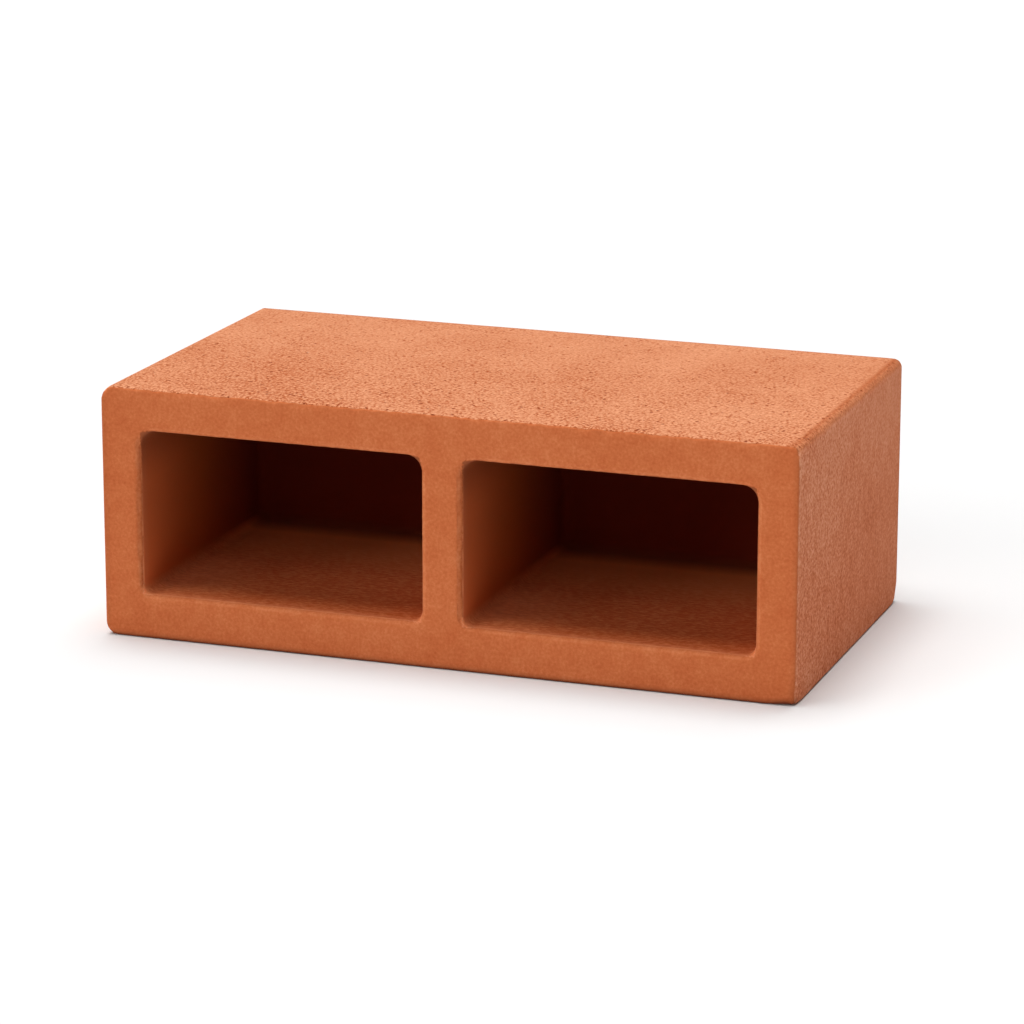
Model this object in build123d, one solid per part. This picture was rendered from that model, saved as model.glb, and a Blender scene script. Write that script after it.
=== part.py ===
# Fired-clay ventilation block: one moulded body with a row of deep pockets in its front face.
# The origin is the middle of the bed face, +X runs along the block, +Z is up and the pockets open to -Y.
import os

from build123d import *

# Driving dimensions, in millimetres
block_length = 290.0
block_depth = 154.0
block_height = 103.5
end_wall = 16.7
web_wall = 17.2
top_wall = 17.5
bottom_wall = 18.4
back_wall = 30.0
pocket_count = 2

# Edge sizes, in millimetres
long_edge_radius = 4.5  # the edges that run from front to back, the mean of the four
rim_radius = 1.6  # round the outside of the front and back faces
pocket_top_radius = 6.0  # where a pocket's side walls meet its ceiling
pocket_floor_radius = 4.5  # where they meet its floor
pocket_end_radius = 4.0  # where all of them meet the closed end
mouth_radius = 2.1  # where a pocket opens on the front face

# Sizes that follow from them
pocket_width = (block_length - 2 * end_wall - (pocket_count - 1) * web_wall) / pocket_count
pocket_height = block_height - bottom_wall - top_wall
pocket_depth = block_depth - back_wall
pocket_pitch = pocket_width + web_wall
pocket_centre_height = bottom_wall + pocket_height / 2

# Planes on the front face, with x along the block, y up and their normal pointing out of the face
outline_plane = Plane(origin=(0, -block_depth / 2, block_height / 2), x_dir=(1, 0, 0), z_dir=(0, -1, 0))
pocket_plane = Plane(origin=(0, -block_depth / 2, pocket_centre_height), x_dir=(1, 0, 0), z_dir=(0, -1, 0))


def outer_body():
    # The block before its pockets: a rounded section, front to back, with softened rims.
    with BuildPart() as body:
        with BuildSketch(outline_plane):
            RectangleRounded(block_length, block_height, long_edge_radius)
        extrude(amount=-block_depth)
        front_and_back = body.faces().filter_by(Axis.Y)
        fillet(front_and_back.edges(), rim_radius)
    return body.part


def pocket():
    # The hollow of one pocket, rounded at its closed end.
    with BuildPart() as hollow:
        with BuildSketch(pocket_plane) as section:
            Rectangle(pocket_width, pocket_height)
            fillet(section.vertices().group_by(Axis.Y)[0], pocket_floor_radius)
            fillet(section.vertices().group_by(Axis.Y)[-1], pocket_top_radius)
        extrude(amount=-pocket_depth)
        closed_end = hollow.faces().sort_by(Axis.Y)[-1]
        fillet(closed_end.edges(), pocket_end_radius)
    return hollow.part


def ventilation_block():
    # The body with its row of pockets cut in, and every mouth rounded over.
    block = outer_body()
    for place in GridLocations(pocket_pitch, 0, pocket_count, 1):
        block -= place * pocket()
    front_face = block.faces().sort_by(Axis.Y)[0]
    mouths = [edge for wire in front_face.inner_wires() for edge in wire.edges()]
    return fillet(mouths, mouth_radius)


os.makedirs("parts", exist_ok=True)
block = ventilation_block()
print("pocket", pocket_width, "x", pocket_height, "x", pocket_depth, "mm deep")
print("volume", round(block.volume / 1e6, 3), "litres")
export_step(block, "parts/ventilation_block.step")
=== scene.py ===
# Fired-clay ventilation block with two blind pockets, standing on a white studio floor.
import math
import bpy
from mathutils import Matrix, Vector


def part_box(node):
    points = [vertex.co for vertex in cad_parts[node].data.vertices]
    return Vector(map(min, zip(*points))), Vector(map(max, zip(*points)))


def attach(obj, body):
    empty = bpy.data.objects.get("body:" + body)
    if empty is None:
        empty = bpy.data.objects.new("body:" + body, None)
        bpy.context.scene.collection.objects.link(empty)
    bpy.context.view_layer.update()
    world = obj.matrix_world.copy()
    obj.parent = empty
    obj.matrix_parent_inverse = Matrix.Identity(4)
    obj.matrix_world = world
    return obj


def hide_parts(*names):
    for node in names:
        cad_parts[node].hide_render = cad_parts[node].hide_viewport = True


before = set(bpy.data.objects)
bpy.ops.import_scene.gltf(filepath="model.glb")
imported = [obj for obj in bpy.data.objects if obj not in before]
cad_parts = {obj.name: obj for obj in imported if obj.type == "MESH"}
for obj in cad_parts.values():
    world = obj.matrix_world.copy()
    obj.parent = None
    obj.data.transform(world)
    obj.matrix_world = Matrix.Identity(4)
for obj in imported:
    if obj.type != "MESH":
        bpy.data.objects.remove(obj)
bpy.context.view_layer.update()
low, high = [Vector(corner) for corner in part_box("ventilation_block")]
bpy.ops.object.select_all(action="DESELECT")
print("frame loaded,", len(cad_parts), "node,", [round(v * 1000, 1) for v in high - low], "mm")


def mm(value):
    return value / 1000


def fade(distance, reach):
    # 1 at the place itself, falling softly to 0 at reach; the distance is in metres, the reach in mm
    left = min(1.0, max(0.0, 1 - distance / mm(reach)))
    return left * left * (3 - 2 * left)


def linearColour(hexText):
    # sRGB hex to the linear values that Blender's sockets take
    parts = [int(hexText[i:i + 2], 16) / 255 for i in (1, 3, 5)]
    return [p / 12.92 if p <= 0.04045 else ((p + 0.055) / 1.055) ** 2.4 for p in parts] + [1.0]


def outwards(degreesRound, degreesUp):
    # the way out from the block, by degrees round from the front and degrees up
    around = math.radians(degreesRound)
    above = math.radians(degreesUp)
    return Vector((
        math.sin(around) * math.cos(above),
        -math.cos(around) * math.cos(above),
        math.sin(above),
    ))


def same(a, b):
    return abs(a - b) < mm(0.01)


def clearPick(kind):
    # nothing selected, in object mode, so that code can select
    bpy.ops.object.mode_set(mode="EDIT")
    bpy.ops.mesh.select_mode(type=kind)
    bpy.ops.mesh.select_all(action="DESELECT")
    bpy.ops.object.mode_set(mode="OBJECT")


def pickEdges(piece, test):
    # leaves the piece in edit mode with only the edges selected whose two ends pass the test
    clearPick("EDGE")
    points = piece.data.vertices
    for edge in piece.data.edges:
        start, end = [points[i].co for i in edge.vertices]
        edge.select = test(start, end)
    bpy.ops.object.mode_set(mode="EDIT")


def pickFaces(piece, test):
    # the same for faces, by their middle
    clearPick("FACE")
    for face in piece.data.polygons:
        face.select = test(face.center)
    bpy.ops.object.mode_set(mode="EDIT")


def roundEdges(piece, radius, steps, test):
    pickEdges(piece, test)
    bpy.ops.mesh.bevel(offset=mm(radius), segments=steps, affect="EDGES", loop_slide=False)
    bpy.ops.object.mode_set(mode="OBJECT")


def boxBetween(lowCorner, highCorner, name):
    middle = (lowCorner + highCorner) / 2
    bpy.ops.mesh.primitive_cube_add(size=1, location=middle, scale=highCorner - lowCorner)
    bpy.ops.object.transform_apply(location=True, rotation=True, scale=True)
    piece = bpy.context.object
    piece.name = name
    return piece


def sliceMesh(spacing):
    # cuts whatever shows in edit mode into a grid, so that it can take fine relief
    for axis in (0, 2, 1):
        normal = Vector((axis == 0, axis == 1, axis == 2))
        count = round((high[axis] - low[axis]) / mm(spacing))
        for i in range(1, count):
            cutAt = low[axis] + (high[axis] - low[axis]) * i / count
            bpy.ops.mesh.select_all(action="SELECT")
            bpy.ops.mesh.bisect(plane_co=normal * cutAt, plane_no=normal)


# Camera, at the photograph's angle
cameraPlace = {
    "azimuth": 19.422,  # degrees round from the front, towards the right end
    "elevation": 15.327,
    "roll": 0.062,
    "distance": 1.70575,  # m
    "aim": (0.025092, -0.064613, 0.063675),
    "lens": 153.108,  # mm, as is the sensor
    "sensor": 36,
}
around = math.radians(cameraPlace["azimuth"])
roll = math.radians(cameraPlace["roll"])
back = outwards(cameraPlace["azimuth"], cameraPlace["elevation"])
right = Vector((math.cos(around), math.sin(around), 0))
up = back.cross(right)
rightRolled = right * math.cos(roll) + up * math.sin(roll)
upRolled = up * math.cos(roll) - right * math.sin(roll)
turn = Matrix((rightRolled, upRolled, back)).transposed()
bpy.ops.object.camera_add(
    location=Vector(cameraPlace["aim"]) + back * cameraPlace["distance"],
    rotation=turn.to_euler(),
)
camera = bpy.context.object
camera.data.sensor_width = cameraPlace["sensor"]
camera.data.lens = cameraPlace["lens"]
bpy.context.scene.camera = camera
print("camera set")

# Block: the plain form first, in mm
blockForm = {
    # radius of the edges that run from front to back, which are worn unequally:
    # left or right end, then top or bed
    "longEdges": {(-1, 1): 5.0, (-1, -1): 5.4, (1, 1): 3.4, (1, -1): 1.2},
    "rim": 1.0,  # radius round the outside of the front and back faces
    "endWall": 16.7,
    "web": 17.2,
    "topWall": 17.5,
    "bottomWall": 18.4,
    "backWall": 30.0,
    "pocketTop": 6.0,  # radius where a pocket's side walls meet its ceiling
    "pocketFloor": 4.5,
    "pocketEnd": 4.0,
    "mouth": 2.1,  # radius where a pocket opens on the front
    "formerStub": 10.0,  # a former stands out of the front by this, and cuts the mouth clean
    "fineMesh": 1.5,  # between cuts outside and at the mouths
    "pocketMesh": 5.0,  # between cuts inside the pockets
    "mouthBand": 12.0,  # of a pocket, from the front, that gets the fine mesh
}
pocketLow = Vector((low.x + mm(blockForm["endWall"]), low.y, low.z + mm(blockForm["bottomWall"])))
pocketHigh = Vector((
    -mm(blockForm["web"]) / 2,
    high.y - mm(blockForm["backWall"]),
    high.z - mm(blockForm["topWall"]),
))
pocketDeep = pocketHigh.y - low.y
pitch = pocketHigh.x - pocketLow.x + mm(blockForm["web"])
mouthEnd = low.y + mm(blockForm["mouthBand"])
slack = mm(0.02)  # so that points on a pocket's walls count as in it


def overPocket(point):
    # seen from the front, whether a point lies over one of the two pockets
    inLength = -pocketHigh.x - slack < abs(point.x) < -pocketLow.x + slack
    return inLength and pocketLow.z - slack < point.z < pocketHigh.z + slack


def inPocket(point):
    return overPocket(point) and point.y < pocketHigh.y + slack


def deepInPocket(point):
    return point.y > mouthEnd and inPocket(point)


def onLongEdge(point, side, level):
    return same(point.x, high.x * side) and same(point.z, high.z if level > 0 else low.z)


def longEdgeRadius(point):
    # of the long edge that is nearest
    level = 1 if point.z > (low.z + high.z) / 2 else -1
    return mm(blockForm["longEdges"][(1 if point.x > 0 else -1, level)])


def fromOutline(point):
    # how far inside the block's rounded outline, seen from the front
    radius = longEdgeRadius(point)
    toEnd = high.x - abs(point.x)
    toLevel = min(high.z - point.z, point.z - low.z)
    if toEnd < radius and toLevel < radius:
        return radius - math.hypot(radius - toEnd, radius - toLevel)
    return min(toEnd, toLevel)


def onMouth(a, b):
    return same(a.y, low.y) and same(b.y, low.y) and a.x * b.x > 0 and overPocket(a) and overPocket(b)


def onClosedEnd(a, b):
    return same(a.y, pocketHigh.y) and same(b.y, pocketHigh.y)


block = boxBetween(low, high, "clay_block")
for (side, level), radius in blockForm["longEdges"].items():
    roundEdges(
        block, radius, steps=6,
        test=lambda a, b: onLongEdge(a, side, level) and onLongEdge(b, side, level),
    )
roundEdges(block, blockForm["rim"], steps=3, test=lambda a, b: same(a.y, b.y))

# one pocket former, and its copy for the second pocket
former = boxBetween(pocketLow - Vector((0, mm(blockForm["formerStub"]), 0)), pocketHigh, "pocket_former")
for edgeZ, radius in ((pocketLow.z, blockForm["pocketFloor"]), (pocketHigh.z, blockForm["pocketTop"])):
    roundEdges(
        former, radius, steps=6,
        test=lambda a, b: same(a.x, b.x) and same(a.z, edgeZ) and same(b.z, edgeZ),
    )
roundEdges(former, blockForm["pocketEnd"], steps=4, test=onClosedEnd)
bpy.ops.object.duplicate()
secondFormer = bpy.context.object
bpy.ops.transform.translate(value=(pitch, 0, 0))
bpy.ops.object.transform_apply(location=True, rotation=True, scale=True)
bpy.ops.object.select_all(action="DESELECT")
block.select_set(True)
bpy.context.view_layer.objects.active = block
for tool in (former, secondFormer):
    press = block.modifiers.new("press the pocket", "BOOLEAN")
    press.operation = "DIFFERENCE"
    press.solver = "EXACT"
    press.object = tool
    bpy.ops.object.modifier_apply(modifier=press.name)
    bpy.data.objects.remove(tool)
roundEdges(block, blockForm["mouth"], steps=4, test=onMouth)
print("block formed,", len(block.data.polygons), "faces")

# then its mesh: fine outside and at the mouths, coarse inside the pockets
bpy.ops.object.mode_set(mode="EDIT")
bpy.ops.mesh.select_all(action="SELECT")
bpy.ops.mesh.bisect(plane_co=(0, mouthEnd, 0), plane_no=(0, 1, 0))
bpy.ops.object.mode_set(mode="OBJECT")
pickFaces(block, deepInPocket)
bpy.ops.mesh.hide(unselected=True)
sliceMesh(blockForm["pocketMesh"])
bpy.ops.mesh.reveal(select=False)
bpy.ops.object.mode_set(mode="OBJECT")
pickFaces(block, deepInPocket)
bpy.ops.mesh.hide(unselected=False)
sliceMesh(blockForm["fineMesh"])
bpy.ops.mesh.reveal(select=False)
bpy.ops.mesh.select_all(action="SELECT")
bpy.ops.mesh.remove_doubles(threshold=mm(0.2))
bpy.ops.object.mode_set(mode="OBJECT")
print("block meshed,", sum(len(face.vertices) - 2 for face in block.data.polygons), "triangles")

# Wear: faces out of flat, rubbed corners, missing crumbs, a left end out of square,
# and the marks, one value for each point, that tell the material what shows there
clayWear = {
    "waviness": 0.12,  # mm that the faces are out of flat
    "waveSize": 60.0,  # mm
    "crumbDepth": 0.8,  # mm that crumbs are missing along the sandy front edge of the top
    "crumbSize": 2.4,  # mm
    "crumbReach": 3.2,  # mm from that edge
    "edgeCrumbs": 0.35,  # share of that depth along the right top edge
    "mouthCrumbs": (0.8, 0.4),  # the same on a mouth's left side, and on its other sides
    # corners rubbed round: left or right end, front or back, then top or bed, and the mm it reaches
    "rubbedCorners": {(1, -1, 1): 9.0, (1, -1, -1): 13.0, (1, 1, -1): 9.5},
    "rubbing": 40,  # times that those corners are smoothed over
    "leftLean": 3.6,  # mm that the left end runs in by, from front to back
    "leanReach": 14.0,  # mm of the length that follows it
    "skinReach": 0.8,  # times the rim's radius that the smooth front reaches back
    "lipSkin": 0.4,  # and this much more under the lip
    "innerFront": 8.0,  # mm in from the outline, where only the mouths break the front
    "lipDrop": 2.0,  # mm below the top that the lip keeps its full strength
    "lipFade": 4.0,  # mm in which it then fades
    "lipReach": 4.0,  # mm of loose sand along the front edge of the top
    "wornFlats": 1.8,  # times a long edge's radius that it is worn on the top and the bed
    "wornEnds": 1.2,  # the same on the ends
    "wornLimit": 1.2,  # times that reach, where the edge's wear stops
    "wornGain": 1.6,  # above 1, the middle of the edge is worn through
    "otherEdges": 0.3,  # wear of the other three long edges, where the right top one has 1
    "backWorn": (0.8, 3.5),  # wear of the back's outline, and the mm that it reaches
    "darkRimReach": 3.5,  # mm from the front's outline to where it stops being darker
    "darkRimSteep": 3,  # times quicker that this ends over the rim
    "backDarkReach": 2.2,  # mm of the same at the back
    "darkRimShare": 0.15,  # how dark both are, where the front's foot is 1
    "footShadeReach": 2.2,  # mm above the bed that the front's foot is darkest, as painted contact shadow
    "lightPoolLength": 45.0,  # mm of the pale pool of painted light on a pocket's floor, from its left wall
    "lightPoolMiddle": 30.0,  # mm in from the mouth to where that painted light is strongest
    "lightPoolDepth": 45.0,  # mm that it reaches in both ways from there
    # how much redder and darker (below 0) or paler a part is coloured, and the mm that it reaches; in the
    # pockets this is painted shade under the ceilings and painted light near the floors
    "topLeftTone": (-0.03, 130.0),
    "lipTone": (-0.09, 2.2),
    "endTopTone": (0.08, 60.0),
    "endFrontPaintedHighlight": (0.1, 4.0),
    "frontLeftTone": (-0.08, 45.0),
    "frontRightTone": (-0.05, 20.0),
    "frontFootPaintedShade": (-0.03, 25.0),
    "ceilingPaintedShade": (-0.48, 25.0),
    "wallFootPaintedLight": (0.3, 45.0),
    "reddest": 30.0,  # mm from the left end, on the top's front edge, that topLeftTone spreads from
}
pointCount = len(block.data.vertices)
marks = {}
for name in ("smoothFront", "endFace", "pocketWall", "pocketFloor", "pocketDepth", "floorLightPool",
             "mouthHighlight", "wornEdge", "sandyLip", "darkRimAndFootShade", "toneAndPaintedLight"):
    marks[name] = [0.0] * pointCount
wearGroups = {}
for name in ("waves", "corners", "crumbs", "lean"):
    wearGroups[name] = block.vertex_groups.new(name=name)
reddest = Vector((low.x + mm(clayWear["reddest"]), low.y, high.z))
mouthLimit = mm(blockForm["mouth"] + 0.1)  # just past the mouths' rounding
flatLimit = mm(0.05)  # further in than this is no longer the flat of the front


def toneBy(name, distance):
    tone, reach = clayWear[name]
    return tone * fade(distance, reach)


for point in block.data.vertices:
    i = point.index
    spot = point.co
    toFront = spot.y - low.y
    toBack = high.y - spot.y
    toEnd = min(spot.x - low.x, high.x - spot.x)
    toTop = high.z - spot.z
    toBed = spot.z - low.z
    toLevel = min(toTop, toBed)
    toOutline = fromOutline(spot)
    leftPart = fade(spot.x - low.x, clayWear["leanReach"])
    wearGroups["lean"].add([i], leftPart * toFront / (high.y - low.y), "REPLACE")
    # inside a pocket nothing is worn, and only the marks for its walls and floor are set, with painted
    # shade under its ceiling, painted light low on its walls, and a pool of painted light on its floor by
    # the left wall
    if inPocket(spot) and toFront > flatLimit:
        marks["pocketWall"][i] = 1.0
        marks["pocketDepth"][i] = toFront / pocketDeep
        marks["pocketFloor"][i] = max(0.0, point.normal.z)
        toCeiling = pocketHigh.z - spot.z
        toFloor = spot.z - pocketLow.z
        # painted shade under the ceiling, and painted light near the floor
        marks["toneAndPaintedLight"][i] = toneBy("ceilingPaintedShade", toCeiling) + toneBy("wallFootPaintedLight", toFloor)
        toLeftWall = spot.x - (pocketLow.x if spot.x < 0 else -pocketHigh.x)
        # a pale pool of painted light on the floor, by the left wall and partway in
        alongLightPool = fade(abs(toFront - mm(clayWear["lightPoolMiddle"])), clayWear["lightPoolDepth"])
        marks["floorLightPool"][i] = fade(toLeftWall, clayWear["lightPoolLength"]) * alongLightPool
        continue
    # the smooth front, its mouths, and the lip of sand above it
    onFront = toFront < mouthLimit and toOutline > mm(clayWear["innerFront"])
    onMouthRim = onFront and toFront > flatLimit
    onLip = fade(toTop - mm(clayWear["lipDrop"]), clayWear["lipFade"])
    skinReach = blockForm["rim"] * (clayWear["skinReach"] + clayWear["lipSkin"] * onLip)
    marks["smoothFront"][i] = 1.0 if onFront else fade(toFront, skinReach)
    # a painted highlight on the mouths' rounding
    marks["mouthHighlight"][i] = fade(toFront, blockForm["mouth"]) if onMouthRim else 0.0
    marks["endFace"][i] = abs(point.normal.x)
    marks["sandyLip"][i] = onLip * fade(max(toFront, toOutline), clayWear["lipReach"])
    # worn along the long edges' roundings, and a little further on the flats above them
    rightTop = spot.x > 0 and toTop < toBed
    wornReach = 1000 * longEdgeRadius(spot) * clayWear["wornFlats" if toEnd > toLevel else "wornEnds"]
    onLong = max(toEnd, toLevel) < mm(wornReach) * clayWear["wornLimit"]
    longWorn = min(1.0, clayWear["wornGain"] * fade(abs(toEnd - toLevel), wornReach)) if onLong else 0.0
    backWear, backReach = clayWear["backWorn"]
    backWorn = backWear * fade(max(toBack, toOutline), backReach)
    marks["wornEdge"][i] = max(longWorn * (1.0 if rightTop else clayWear["otherEdges"]), backWorn)
    # darker round the outlines of the front and the back, and darkest at the front's foot, as painted
    # contact shadow
    overRim = clayWear["darkRimSteep"] * toFront
    sideDarkening = (1 - onLip) * fade(max(overRim, toOutline), clayWear["darkRimReach"])
    backDarkening = fade(max(toBack, toOutline), clayWear["backDarkReach"])
    footShade = fade(max(toFront, toBed), clayWear["footShadeReach"])
    marks["darkRimAndFootShade"][i] = max(clayWear["darkRimShare"] * max(sideDarkening, backDarkening), footShade)
    # redder or paler by the place on each face; the darker foot of the front is painted shade
    if marks["smoothFront"][i] > 0.5:
        endTones = toneBy("frontLeftTone", spot.x - low.x) + toneBy("frontRightTone", high.x - spot.x)
        marks["toneAndPaintedLight"][i] = endTones + toneBy("frontFootPaintedShade", toBed)
    elif marks["endFace"][i] > 0.5:
        # the paler front edge of each end is a painted highlight
        marks["toneAndPaintedLight"][i] = toneBy("endTopTone", toTop) + toneBy("endFrontPaintedHighlight", toFront)
    else:
        leftTone = toneBy("topLeftTone", (spot - reddest).length)
        marks["toneAndPaintedLight"][i] = leftTone + onLip * toneBy("lipTone", toFront)
    # crumbs and rubbed corners
    crumble = onLip * fade(max(toFront, toOutline), clayWear["crumbReach"])
    if rightTop:
        crumble = max(crumble, clayWear["edgeCrumbs"] * longWorn)
    if onMouthRim:
        facesRight = point.normal.x > 0.2
        crumble = clayWear["mouthCrumbs"][0 if facesRight else 1]
    rubbed = 0.0
    for (side, face, level), reach in clayWear["rubbedCorners"].items():
        corner = Vector((high.x * side, high.y * face, high.z if level > 0 else low.z))
        rubbed = max(rubbed, fade((spot - corner).length, reach))
    wearGroups["waves"].add([i], 1.0, "REPLACE")
    wearGroups["corners"].add([i], rubbed, "REPLACE")
    wearGroups["crumbs"].add([i], crumble, "REPLACE")
for name, values in marks.items():
    block.data.attributes.new(name, "FLOAT", "POINT").data.foreach_set("value", values)


def pressIn(name, group, size, depth, contrast):
    # a cloudy relief that only ever goes into the clay, so the block keeps its size
    cloudy = bpy.data.textures.new(name, "CLOUDS")
    cloudy.noise_scale = mm(size)
    cloudy.contrast = contrast
    cloudy.use_clamp = True
    layer = block.modifiers.new(name, "DISPLACE")
    layer.texture = cloudy
    layer.texture_coords = "LOCAL"
    layer.vertex_group = group
    layer.mid_level = 0
    layer.strength = -mm(depth)
    bpy.ops.object.modifier_apply(modifier=layer.name)


pressIn("faces out of flat", "waves", clayWear["waveSize"], clayWear["waviness"], contrast=1.0)
rub = block.modifiers.new("rubbed corners", "SMOOTH")
rub.factor = 1.0
rub.iterations = clayWear["rubbing"]
rub.vertex_group = "corners"
bpy.ops.object.modifier_apply(modifier=rub.name)
pressIn("crumbled edges", "crumbs", clayWear["crumbSize"], clayWear["crumbDepth"], contrast=2.2)
lean = block.modifiers.new("left end out of square", "DISPLACE")
lean.direction = "X"
lean.vertex_group = "lean"
lean.mid_level = 0
lean.strength = mm(clayWear["leftLean"])
bpy.ops.object.modifier_apply(modifier=lean.name)
block.vertex_groups.clear()
bpy.ops.object.shade_smooth_by_angle(angle=math.radians(40))
print("block worn")


def addNode(tree, kind, sockets, out=0, stops=(), **settings):
    # adds one node: its settings, then each socket's value or the output that feeds it, by name or number
    # (a Mix node has its factor at 0, numbers at 2 and 3, and colours at 6 and 7)
    made = tree.nodes.new("ShaderNode" + kind)
    for name, value in settings.items():
        setattr(made, name, value)
    for name, value in sockets.items():
        if isinstance(value, bpy.types.NodeSocket):
            tree.links.new(value, made.inputs[name])
        else:
            made.inputs[name].default_value = value
    for i, (position, hexText) in enumerate(stops):
        stop = made.color_ramp.elements[i] if i < 2 else made.color_ramp.elements.new(position)
        stop.position = position
        stop.color = linearColour(hexText)
    return made.outputs[out] if made.outputs else made


# Red brick clay: pressed smooth at the front, sanded on its other outer faces, then fired.
# It is matte all over, with an even warm red front, and paler faces of fine sand and small pits.
clayLook = {
    # colours along each surface's tone, from 0 to 1: the two ends first, then between them
    "topSand": ((0.2, "#7A3010"), (0.7, "#E4A078"), (0.34, "#A64C1A"), (0.5, "#CA825B")),
    "endSand": ((0.2, "#A43F14"), (0.8, "#E8A27E"), (0.5, "#D0784E")),
    "bareClay": ((0.2, "#B5552A"), (0.8, "#D68052"), (0.5, "#C66B3D")),
    "wornClay": ((0.3, "#80340F"), (0.7, "#D28459"), (0.5, "#B46036")),
    # the same along a pocket, from its mouth at 0 to its closed end at 1: painted shade that deepens
    # inwards, and on the floor also a band of painted light before the closed end
    "wallClayAndPaintedShade": (
        (0.0, "#C66C41"), (1.0, "#6C210A"), (0.06, "#C2602F"), (0.5, "#9F4B16"), (0.9, "#772B0D"),
    ),
    "floorClayPaintedShadeAndLight": (
        (0.0, "#C66C41"), (1.0, "#6C210A"), (0.05, "#B5501F"), (0.5, "#BA5221"), (0.85, "#E27B3E"),
    ),
    # dark colour for the outline, and for the painted contact shadow at the front's foot
    "darkRimAndFootShadeColour": "#5A2612",
    # pale dust for the drag marks, and the colour of the pool of painted light on each floor
    "dust": "#E28654",
    "grainSize": 1.2,  # mm, real sand is finer, but this is what the picture can show
    "pitSpacing": 2.3,  # mm between pits
    "paleSpacing": 1.7,  # mm between pale grains
    "mottleSize": 7.0,  # mm
    "cloudSize": 45.0,  # mm
    "streakSpacing": 3.0,  # mm between faint upright streaks on the ends
    "dragLength": 2.6,  # mm, marks that the formers left along the pocket floors
    "bumpHeight": 0.3,  # mm
    "ior": 1.5,
    "specular": 0.2,  # low, because open sand and pits scatter what a glaze would reflect
}
clay = bpy.data.materials.new("fired brick clay")
clay.use_nodes = True
clayTree = clay.node_tree
clayTree.nodes.clear()
mark = {}
for name in marks:
    mark[name] = addNode(clayTree, "Attribute", {}, out="Fac", attribute_name=name)
place = addNode(clayTree, "TexCoord", {}, out="Object")
placeMm = addNode(clayTree, "VectorMath", {0: place, 1: (1000, 1000, 1000)}, operation="MULTIPLY")
placeAside = addNode(clayTree, "VectorMath", {0: placeMm, 1: (37, 11, 53)}, operation="ADD")
placeEnd = addNode(clayTree, "VectorMath", {0: placeMm, 1: (1, 0.8, 0.9)}, operation="MULTIPLY")
placeStreak = addNode(clayTree, "VectorMath", {0: placeMm, 1: (1, 1, 0.2)}, operation="MULTIPLY")
placeDrag = addNode(
    clayTree, "VectorMath",
    {0: placeMm, 1: (clayLook["grainSize"] / clayLook["dragLength"], 1, 1)}, operation="MULTIPLY",
)
alongDepth = addNode(clayTree, "SeparateXYZ", {0: placeMm}, out="Y")

clouds = addNode(
    clayTree, "TexNoise", {"Vector": placeMm, "Scale": 1 / clayLook["cloudSize"], "Detail": 3.0},
)
mottle = addNode(
    clayTree, "TexNoise", {"Vector": placeMm, "Scale": 1 / clayLook["mottleSize"], "Detail": 3.0},
)
grain = addNode(
    clayTree, "TexNoise",
    {"Vector": placeMm, "Scale": 1 / clayLook["grainSize"], "Detail": 3.0, "Roughness": 0.6},
)
endGrain = addNode(
    clayTree, "TexNoise",
    {"Vector": placeEnd, "Scale": 1 / clayLook["grainSize"], "Detail": 4.0, "Roughness": 0.7},
)
streaks = addNode(
    clayTree, "TexNoise", {"Vector": placeStreak, "Scale": 1 / clayLook["streakSpacing"], "Detail": 2.0},
)
drag = addNode(
    clayTree, "TexNoise",
    {"Vector": placeDrag, "Scale": 1 / clayLook["grainSize"], "Detail": 4.0, "Roughness": 0.65},
)
pitCells = addNode(clayTree, "TexVoronoi", {"Vector": placeMm, "Scale": 1 / clayLook["pitSpacing"]})
paleCells = addNode(clayTree, "TexVoronoi", {"Vector": placeAside, "Scale": 1 / clayLook["paleSpacing"]})

# pits gather where the mottle is high, and the sand is finer towards the back
pitReach = addNode(
    clayTree, "MapRange",
    {"Value": mottle, "From Min": 0.3, "From Max": 0.7, "To Min": 0.1, "To Max": 0.38},
)
pitEdge = addNode(clayTree, "Math", {0: pitReach, 1: pitCells}, operation="SUBTRACT")
pits = addNode(clayTree, "Math", {0: pitEdge, 1: 6.0}, operation="MULTIPLY", use_clamp=True)
paleGrains = addNode(
    clayTree, "MapRange",
    {"Value": paleCells, "From Min": 0.36, "From Max": 0.16, "To Min": 0.0, "To Max": 1.0},
)
coarseness = addNode(
    clayTree, "MapRange",
    {"Value": alongDepth, "From Min": 50.0, "From Max": -55.0, "To Min": 0.55, "To Max": 1.0},
)

# grain, pits and pale grains make the tone of the sand, and the lip has the most of them
lipPart = addNode(clayTree, "Math", {0: mark["sandyLip"], 1: 0.5}, operation="MULTIPLY")
sandContrast = addNode(clayTree, "Math", {0: coarseness, 1: lipPart}, operation="ADD")
cloudTone = addNode(
    clayTree, "MapRange",
    {"Value": clouds, "From Min": 0.3, "From Max": 0.7, "To Min": 0.54, "To Max": 0.46},
)
baseTone = addNode(clayTree, "Math", {0: cloudTone, 1: mark["toneAndPaintedLight"]}, operation="ADD")
lipTone = addNode(clayTree, "Math", {0: mark["sandyLip"], 1: 0.03, 2: baseTone}, operation="MULTIPLY_ADD")
speckTone = addNode(clayTree, "Math", {0: paleGrains, 1: 0.05}, operation="MULTIPLY")
pitTone = addNode(clayTree, "Math", {0: pits, 1: -0.26, 2: speckTone}, operation="MULTIPLY_ADD")
grainTone = addNode(clayTree, "Math", {0: grain, 1: 0.5}, operation="SUBTRACT")
endGrainTone = addNode(clayTree, "Math", {0: endGrain, 1: 1.2, 2: -0.6}, operation="MULTIPLY_ADD")
streakTone = addNode(clayTree, "Math", {0: streaks, 1: 0.5}, operation="SUBTRACT")
topSwing = addNode(clayTree, "Math", {0: pitTone, 1: grainTone}, operation="ADD")
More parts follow.
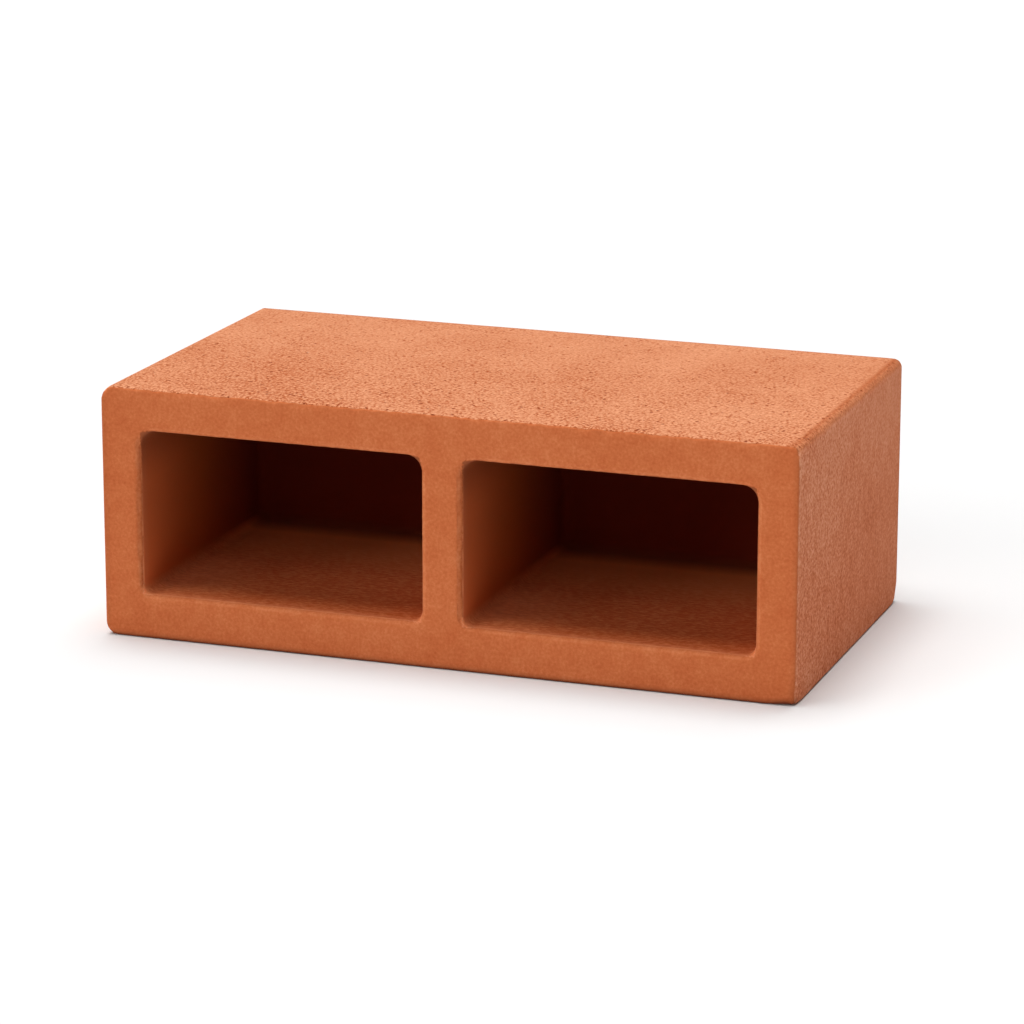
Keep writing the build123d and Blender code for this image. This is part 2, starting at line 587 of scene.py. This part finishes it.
endSpecks = addNode(clayTree, "Math", {0: pitTone, 1: 0.65, 2: endGrainTone}, operation="MULTIPLY_ADD")
endSwing = addNode(clayTree, "Math", {0: streakTone, 1: 0.2, 2: endSpecks}, operation="MULTIPLY_ADD")
topTone = addNode(clayTree, "Math", {0: topSwing, 1: sandContrast, 2: lipTone}, operation="MULTIPLY_ADD")
smudge = addNode(clayTree, "Math", {0: mottle, 1: 0.5}, operation="SUBTRACT")
endSmudge = addNode(clayTree, "Math", {0: smudge, 1: 0.2, 2: baseTone}, operation="MULTIPLY_ADD")
endTone = addNode(clayTree, "Math", {0: endSwing, 1: coarseness, 2: endSmudge}, operation="MULTIPLY_ADD")
# painted highlight, in patches, along the mouths' rounding
mouthHighlightPatches = addNode(clayTree, "Math", {0: mark["mouthHighlight"], 1: mottle}, operation="MULTIPLY")
mouthHighlightTone = addNode(clayTree, "Math", {0: mouthHighlightPatches, 1: 0.22, 2: baseTone}, operation="MULTIPLY_ADD")
smudgedTone = addNode(clayTree, "Math", {0: smudge, 1: 0.35, 2: mouthHighlightTone}, operation="MULTIPLY_ADD")
bareTone = addNode(clayTree, "Math", {0: grainTone, 1: 0.7, 2: smudgedTone}, operation="MULTIPLY_ADD")
topSand = addNode(clayTree, "ValToRGB", {"Fac": topTone}, stops=clayLook["topSand"])
endSand = addNode(clayTree, "ValToRGB", {"Fac": endTone}, stops=clayLook["endSand"])
bareClay = addNode(clayTree, "ValToRGB", {"Fac": bareTone}, stops=clayLook["bareClay"])
wornClay = addNode(clayTree, "ValToRGB", {"Fac": topTone}, stops=clayLook["wornClay"])
endPart = addNode(
    clayTree, "MapRange",
    {"Value": mark["endFace"], "From Min": 0.55, "From Max": 0.85, "To Min": 0.0, "To Max": 1.0},
)
coat = addNode(clayTree, "Mix", {0: endPart, 6: topSand, 7: endSand}, out=2, data_type="RGBA")

# edges worn through the sand, the bare front, and its outline darker, with painted contact shadow at its
# foot
wornRough = addNode(clayTree, "Math", {0: mark["wornEdge"], 1: grain}, operation="ADD")
wornPart = addNode(
    clayTree, "MapRange",
    {"Value": wornRough, "From Min": 0.8, "From Max": 1.35, "To Min": 0.0, "To Max": 0.9},
)
wornCoat = addNode(clayTree, "Mix", {0: wornPart, 6: coat, 7: wornClay}, out=2, data_type="RGBA")
frontRough = addNode(clayTree, "Math", {0: mark["smoothFront"], 1: grain}, operation="ADD")
frontPart = addNode(
    clayTree, "MapRange",
    {"Value": frontRough, "From Min": 0.9, "From Max": 1.1, "To Min": 0.0, "To Max": 1.0},
)
outside = addNode(clayTree, "Mix", {0: frontPart, 6: wornCoat, 7: bareClay}, out=2, data_type="RGBA")
outsideWithRimAndFootShade = addNode(
    clayTree, "Mix", {0: mark["darkRimAndFootShade"], 6: outside, 7: linearColour(clayLook["darkRimAndFootShadeColour"])},
    out=2, data_type="RGBA",
)

# painted shade: pocket walls darken inwards, and floors stay redder, with painted shade and light along
# their depth, drag marks, and a pool of painted light by the left wall
wallClayAndPaintedShade = addNode(clayTree, "ValToRGB", {"Fac": mark["pocketDepth"]}, stops=clayLook["wallClayAndPaintedShade"])
wallShade = addNode(clayTree, "Math", {0: mark["toneAndPaintedLight"], 1: 1.0}, operation="ADD")
shadedWall = addNode(clayTree, "VectorMath", {0: wallClayAndPaintedShade, "Scale": wallShade}, operation="SCALE")
floorClayPaintedShadeAndLight = addNode(clayTree, "ValToRGB", {"Fac": mark["pocketDepth"]}, stops=clayLook["floorClayPaintedShadeAndLight"])
floorPart = addNode(
    clayTree, "MapRange",
    {"Value": mark["pocketFloor"], "From Min": 0.2, "From Max": 0.8, "To Min": 0.0, "To Max": 1.0},
)
dragDust = addNode(
    clayTree, "MapRange",
    {"Value": drag, "From Min": 0.4, "From Max": 0.8, "To Min": 0.0, "To Max": 0.85},
)
# drag marks, plus the pool of painted light by the left wall
lightPoolAndDrag = addNode(
    clayTree, "Math", {0: mark["floorLightPool"], 1: 0.6, 2: dragDust}, operation="MULTIPLY_ADD",
)
poolAndDragEnd = addNode(
    clayTree, "MapRange",
    {"Value": mark["pocketDepth"], "From Min": 0.7, "From Max": 0.93, "To Min": 1.0, "To Max": 0.0},
)
dragDustAndLightPool = addNode(clayTree, "Math", {0: lightPoolAndDrag, 1: poolAndDragEnd}, operation="MULTIPLY")
floorWithDustAndLightPool = addNode(
    clayTree, "Mix", {0: dragDustAndLightPool, 6: floorClayPaintedShadeAndLight, 7: linearColour(clayLook["dust"])},
    out=2, data_type="RGBA",
)
pocketClay = addNode(
    clayTree, "Mix", {0: floorPart, 6: shadedWall, 7: floorWithDustAndLightPool}, out=2, data_type="RGBA",
)
clayColour = addNode(
    clayTree, "Mix", {0: mark["pocketWall"], 6: outsideWithRimAndFootShade, 7: pocketClay}, out=2, data_type="RGBA",
)

# relief: pits sink, grains stand, and the bare front is nearly flat
speckHeight = addNode(clayTree, "Math", {0: pitTone, 1: 3.0}, operation="MULTIPLY")
topHeight = addNode(clayTree, "Math", {0: speckHeight, 1: grain}, operation="ADD")
endHeight = addNode(clayTree, "Math", {0: endGrain, 1: 0.6}, operation="MULTIPLY")
sandHeight = addNode(clayTree, "Mix", {0: endPart, 2: topHeight, 3: endHeight}, data_type="FLOAT")
bodyHeight = addNode(clayTree, "Math", {0: grain, 1: 0.15}, operation="MULTIPLY")
bare = addNode(clayTree, "Math", {0: frontPart, 1: mark["pocketWall"]}, operation="MAXIMUM")
height = addNode(clayTree, "Mix", {0: bare, 2: sandHeight, 3: bodyHeight}, data_type="FLOAT")
relief = addNode(
    clayTree, "Bump", {"Strength": 1.0, "Distance": mm(clayLook["bumpHeight"]), "Height": height},
)
roughness = addNode(
    clayTree, "MapRange",
    {"Value": grain, "From Min": 0.2, "From Max": 0.8, "To Min": 0.86, "To Max": 0.98},
)
surface = addNode(clayTree, "BsdfPrincipled", {
    "Base Color": clayColour,
    "Roughness": roughness,
    "Normal": relief,
    "IOR": clayLook["ior"],
    "Specular IOR Level": clayLook["specular"],
})
addNode(clayTree, "OutputMaterial", {"Surface": surface})
block.data.materials.clear()
block.data.materials.append(clay)
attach(block, "root")
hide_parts("ventilation_block")
print("block finished")

# Studio: white floor, white beyond it, and soft lamps round an overhead one
studio = {
    "floor": "#E7E7E7",
    "floorSize": 12.0,  # m
    "floorBack": 2.0,  # m that its middle lies behind the block
    "lampSpread": 35.0,  # degrees across, as a softbox looks from the block
    # degrees round from the front, degrees up, strength in W per square metre
    "lamps": {
        "overhead": (0, 90, 1.65),
        "overhead_back": (180, 72, 0.95),
        "overhead_left": (-90, 72, 0.988),
        "front_left_fill": (-45, 15, 1.068),
        "front_fill": (0, 35, 0.488),
        "right_fill": (90, 4, 0.37),
    },
}
bpy.ops.mesh.primitive_plane_add(size=studio["floorSize"], location=(0, studio["floorBack"], 0))
floor = bpy.context.object
floor.name = "studio_floor"
bpy.ops.object.transform_apply(location=True, rotation=True, scale=True)
# Matt white paper: a plain diffuse sheet, which keeps the block's soft shadow
paper = bpy.data.materials.new("matt white paper")
paper.use_nodes = True
paper.node_tree.nodes.clear()
sheet = addNode(paper.node_tree, "BsdfDiffuse", {"Color": linearColour(studio["floor"])})
addNode(paper.node_tree, "OutputMaterial", {"Surface": sheet})
floor.data.materials.append(paper)

for name, (degreesRound, degreesUp, strength) in studio["lamps"].items():
    towards = outwards(degreesRound, degreesUp)
    facing = towards.to_track_quat("Z", "Y").to_euler()
    bpy.ops.object.light_add(type="SUN", location=towards, rotation=facing)
    lamp = bpy.context.object
    lamp.name = name
    lamp.data.energy = strength
    lamp.data.angle = math.radians(studio["lampSpread"])

# the world is white to the eye and gives no light of its own
world = bpy.data.worlds.new("white surround")
world.use_nodes = True
sky = world.node_tree
sky.nodes.clear()
cameraRay = addNode(sky, "LightPath", {}, out="Is Camera Ray")
glossyRay = addNode(sky, "LightPath", {}, out="Is Glossy Ray")
throughRay = addNode(sky, "LightPath", {}, out="Is Transmission Ray")
seen = addNode(sky, "Math", {0: cameraRay, 1: glossyRay}, operation="MAXIMUM")
seenToo = addNode(sky, "Math", {0: seen, 1: throughRay}, operation="MAXIMUM")
white = addNode(sky, "Background", {"Color": (1, 1, 1, 1), "Strength": seenToo})
addNode(sky, "OutputWorld", {"Surface": white})
bpy.context.scene.world = world
bpy.context.scene.view_settings.view_transform = "Standard"
print("studio set")
